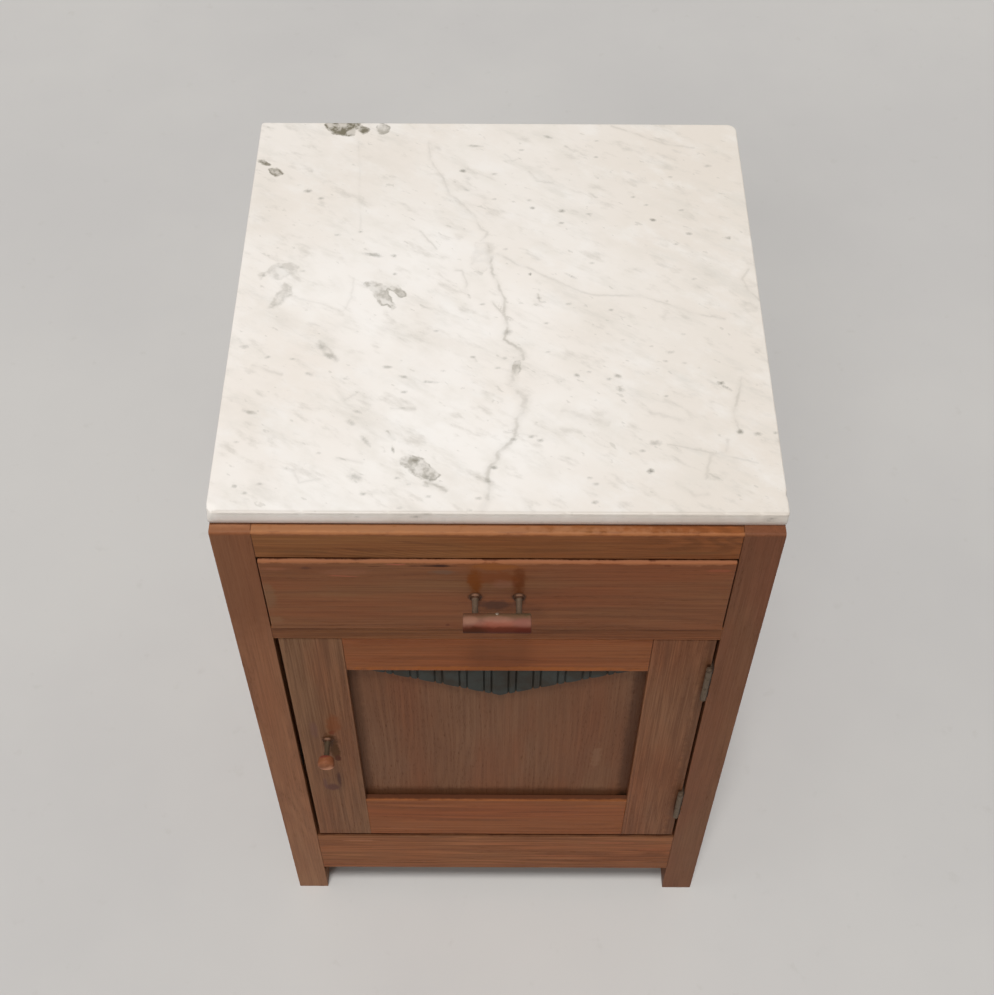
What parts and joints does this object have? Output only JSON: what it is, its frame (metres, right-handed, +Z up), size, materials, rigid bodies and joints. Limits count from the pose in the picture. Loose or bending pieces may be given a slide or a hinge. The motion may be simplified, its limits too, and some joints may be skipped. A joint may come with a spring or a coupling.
{
  "type": "nightstand",
  "caption": "Upright bedside pot cupboard with a stone top, a shallow drawer above a panelled door with a fluted dark ornament, and turned wooden pulls.",
  "frame": {"origin": "centre of the footprint box (drawer pull to slab's back edge, slab side to slab side) on the floor", "axes": "+X to the right seen from the front, +Y to the back, +Z up; the front with drawer and door faces -Y"},
  "size_m": [0.44, 0.4916, 0.7],
  "materials": {
    "marble": "honed, worn",
    "oak_post": "waxed, worn",
    "oak_rail": "waxed, worn",
    "oak_door": "waxed, worn",
    "oak_panel": "waxed",
    "oak_inside": "bare, aged",
    "ebonised_wood": "stained black, satin",
    "turned_wood": "polished",
    "hinge_metal": "dark, aged",
    "pull_metal": "brown, aged",
    "bright_metal": "worn bright"
  },
  "bodies": {
    "carcass": {"marble_top": "marble", "post_front_left": "oak_post", "post_front_right": "oak_post", "post_back_left": "oak_post", "post_back_right": "oak_post", "front_top_rail": "oak_rail", "drawer_divider_rail": "oak_rail", "front_bottom_rail": "oak_rail", "side_top_rail_left": "oak_rail", "side_top_rail_right": "oak_rail", "side_bottom_rail_left": "oak_rail", "side_bottom_rail_right": "oak_rail", "side_panel_left": "oak_panel", "side_panel_right": "oak_panel", "back_top_rail": "oak_rail", "back_bottom_rail": "oak_rail", "back_panel": "oak_inside", "floor_board": "oak_inside", "floor_cleats": "oak_inside", "drawer_runner_left": "oak_inside", "drawer_runner_right": "oak_inside", "dust_board": "oak_inside", "drawer_guides": "oak_inside", "drawer_kickers": "oak_inside", "drawer_stops": "oak_inside", "door_stop": "oak_inside", "hinge_frame_leaf_upper": "hinge_metal", "hinge_frame_leaf_lower": "hinge_metal", "hinge_pins": "hinge_metal", "hinge_frame_screws": "hinge_metal", "strike_plate": "hinge_metal", "strike_screws": "hinge_metal"},
    "door": {"door_stile_left": "oak_door", "door_stile_right": "oak_door", "door_top_rail": "oak_rail", "door_bottom_rail": "oak_rail", "door_panel": "oak_panel", "door_ornament": "ebonised_wood", "hinge_door_leaf_upper": "hinge_metal", "hinge_door_leaf_lower": "hinge_metal", "hinge_door_screws": "hinge_metal", "knob_collar": "pull_metal", "knob_stem": "pull_metal", "knob_grip": "turned_wood", "knob_nut": "pull_metal", "catch_barrel": "bright_metal", "catch_ball": "bright_metal"},
    "drawer": {"drawer_front": "oak_rail", "drawer_side_left": "oak_inside", "drawer_side_right": "oak_inside", "drawer_back": "oak_inside", "drawer_bottom": "oak_inside", "pull_collars": "pull_metal", "pull_stems": "pull_metal", "pull_bar": "turned_wood", "pull_nail": "bright_metal", "pull_nuts": "pull_metal"}
  },
  "joints": [
    {"name": "drawer_slide", "type": "slide", "parent": "carcass", "child": "drawer", "axis": [0, -1, 0], "range_m": [0, 0.28]},
    {"name": "door_swing", "type": "hinge", "parent": "carcass", "child": "door", "pos_m": [0.18285, -0.2139, 0.3], "axis": [0, 0, 1], "range_deg": [0, 175]}
  ]
}
